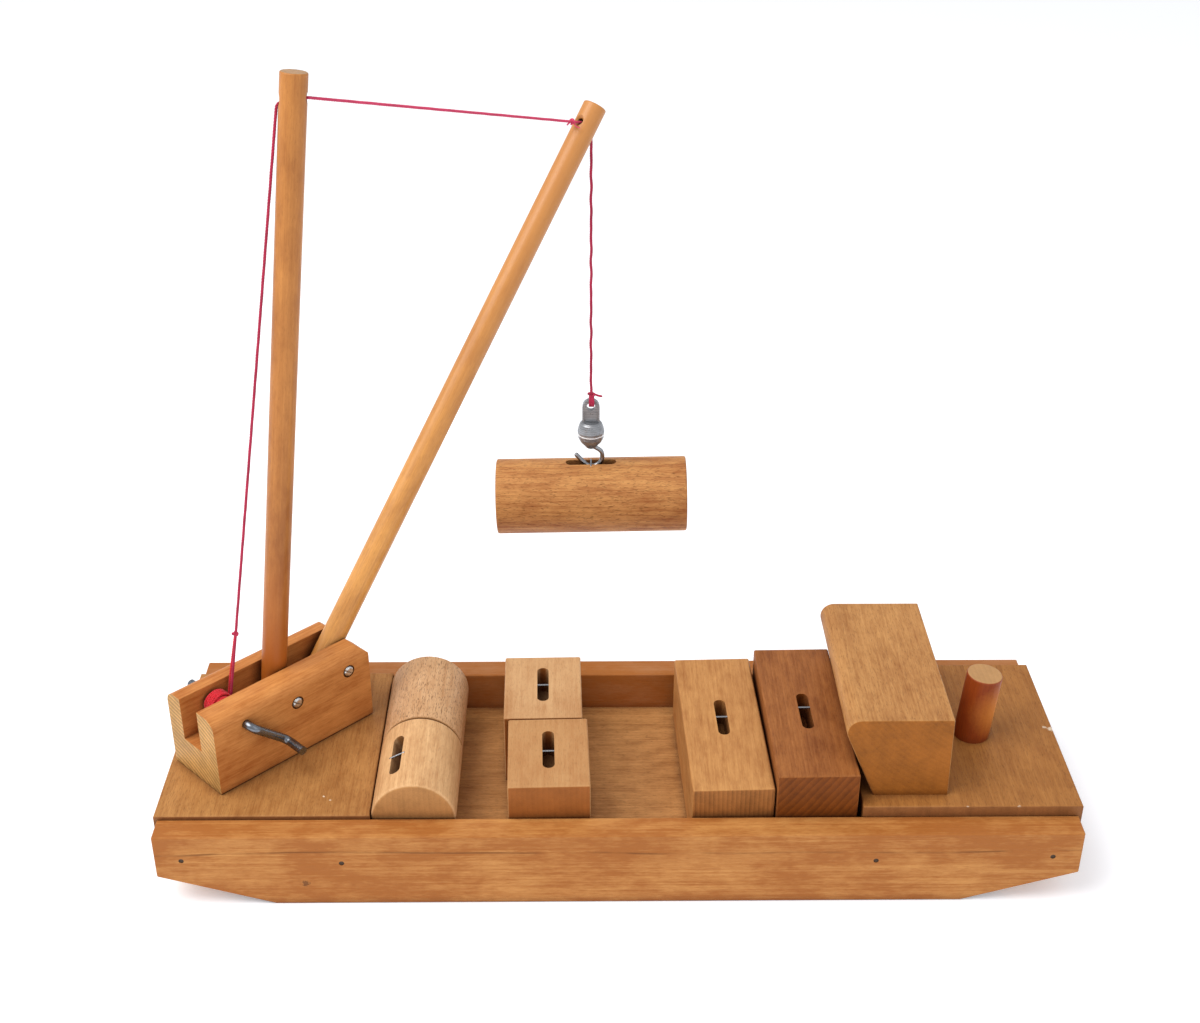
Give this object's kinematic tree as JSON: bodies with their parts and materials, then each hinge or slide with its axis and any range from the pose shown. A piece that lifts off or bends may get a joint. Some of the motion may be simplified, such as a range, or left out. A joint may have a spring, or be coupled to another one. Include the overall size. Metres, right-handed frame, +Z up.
{
  "type": "toy crane barge",
  "caption": "Wooden toy barge with a slewing derrick crane worked by a crank winch and string, a deckhouse, a funnel and lift-out log and block cargo.",
  "frame": {"origin": "centre of the hull's flat underside, on the plane it stands on", "axes": "+X towards the fore end with the deckhouse, +Y to the far side over which the load hangs, +Z up"},
  "size_m": [0.4532, 0.2631, 0.381],
  "materials": {
    "hull_wood": "honey beech, lightly oiled",
    "deck_wood": "slightly greyed beech, satin",
    "block_wood": "pale beech, satin",
    "round_wood": "pale beech dowel, satin",
    "reddish_wood": "reddish beech, satin",
    "orange_wood": "warm orange beech, satin",
    "funnel_wood": "red-brown stained dowel, satin",
    "bright_steel": "bright zinc-plated steel",
    "dark_steel": "dark blued steel, semi-gloss",
    "dull_zinc": "dull grey zinc casting",
    "red_string": "twisted crimson cotton string"
  },
  "bodies": {
    "hull": {"bottom_board": "hull_wood", "near_side_board": "hull_wood", "far_side_board": "hull_wood", "aft_deck": "deck_wood", "fore_deck": "deck_wood", "side_nails": "bright_steel", "deckhouse": "deck_wood", "funnel": "funnel_wood", "slew_screw": "bright_steel", "slew_washer": "bright_steel"},
    "crane": {"crane_base": "orange_wood", "mast": "round_wood", "mast_screw": "bright_steel", "boom_screw": "bright_steel", "back_string": "red_string"},
    "winch": {"crank": "dark_steel", "string_winding": "red_string"},
    "boom_spar": {"boom": "round_wood", "boom_knot": "red_string"},
    "span_outer": {"span_string_boom_half": "red_string"},
    "span_inner": {"span_string_mast_half": "red_string"},
    "fall": {"fall_string": "red_string", "fall_knot": "red_string", "swivel_eye": "dull_zinc", "swivel_ring": "bright_steel"},
    "hook_block": {"swivel_weight": "dull_zinc", "load_hook": "bright_steel"},
    "load": {"hung_log": "round_wood", "hung_log_staple": "bright_steel"},
    "near_log": {"log_near": "round_wood", "log_near_staple": "bright_steel"},
    "far_log": {"log_far": "round_wood", "log_far_staple": "bright_steel"},
    "near_small_block": {"small_block_near": "block_wood", "small_block_near_staple": "bright_steel"},
    "far_small_block": {"small_block_far": "block_wood", "small_block_far_staple": "bright_steel"},
    "long_cargo": {"long_block": "block_wood", "long_block_staple": "bright_steel"},
    "tall_cargo": {"tall_block": "reddish_wood", "tall_block_staple": "bright_steel"}
  },
  "joints": [
    {"name": "crane_slew", "type": "hinge", "parent": "hull", "child": "crane", "pos_m": [-0.1763, 0.0034, 0.044], "axis": [0, 0, 1], "continuous": true},
    {"name": "boom_luff", "type": "hinge", "parent": "crane", "child": "boom_spar", "pos_m": [-0.15255, 0.02831, 0.0778], "axis": [0.7034, -0.7108, 0], "range_deg": [-17.5, 10]},
    {"name": "winch_turn", "type": "hinge", "parent": "crane", "child": "winch", "pos_m": [-0.19684, -0.01693, 0.0781], "axis": [-0.7034, 0.7108, 0], "range_deg": [-640, 370]},
    {"name": "span_swing", "type": "hinge", "parent": "boom_spar", "child": "span_outer", "pos_m": [-0.02207, 0.15729, 0.32214], "axis": [0.7034, -0.7108, 0], "range_deg": [-4, 7]},
    {"name": "span_take_up", "type": "slide", "parent": "span_outer", "child": "span_inner", "axis": [0.6666, 0.6951, -0.2692], "range_m": [-0.09, 0.051], "deforming": ["span_string_mast_half", "span_string_boom_half"]},
    {"name": "fall_plumb", "type": "hinge", "parent": "boom_spar", "child": "fall", "pos_m": [-0.01227, 0.16712, 0.31472], "axis": [0.7034, -0.7108, 0], "range_deg": [-10.5, 18]},
    {"name": "hook_swivel", "type": "hinge", "parent": "fall", "child": "hook_block", "pos_m": [-0.01227, 0.16712, 0.136], "axis": [0, 0, 1], "continuous": true},
    {"name": "load_swing", "type": "hinge", "parent": "hook_block", "child": "load", "pos_m": [-0.01227, 0.16712, 0.11705], "axis": [0.0087, 1, 0], "range_deg": [-20, 20]},
    {"name": "near_log_lift", "type": "slide", "parent": "hull", "child": "near_log", "axis": [0, 0, 1], "range_m": [0, 0.05]},
    {"name": "far_log_lift", "type": "slide", "parent": "hull", "child": "far_log", "axis": [0, 0, 1], "range_m": [0, 0.05]},
    {"name": "near_small_block_lift", "type": "slide", "parent": "hull", "child": "near_small_block", "axis": [0, 0, 1], "range_m": [0, 0.06]},
    {"name": "far_small_block_lift", "type": "slide", "parent": "hull", "child": "far_small_block", "axis": [0, 0, 1], "range_m": [0, 0.06]},
    {"name": "long_block_lift", "type": "slide", "parent": "hull", "child": "long_cargo", "axis": [0, 0, 1], "range_m": [0, 0.06]},
    {"name": "tall_block_shift", "type": "slide", "parent": "hull", "child": "tall_cargo", "axis": [0, 1, 0], "range_m": [0, 0.008]}
  ],
  "couplings": [
    {"joint": "winch_turn", "follows": "boom_luff", "ratio": 36.259},
    {"joint": "span_swing", "follows": "boom_luff", "ratio": -0.3889},
    {"joint": "span_take_up", "follows": "boom_luff", "m_per_rad": 0.2822},
    {"joint": "fall_plumb", "follows": "boom_luff", "ratio": -1}
  ]
}
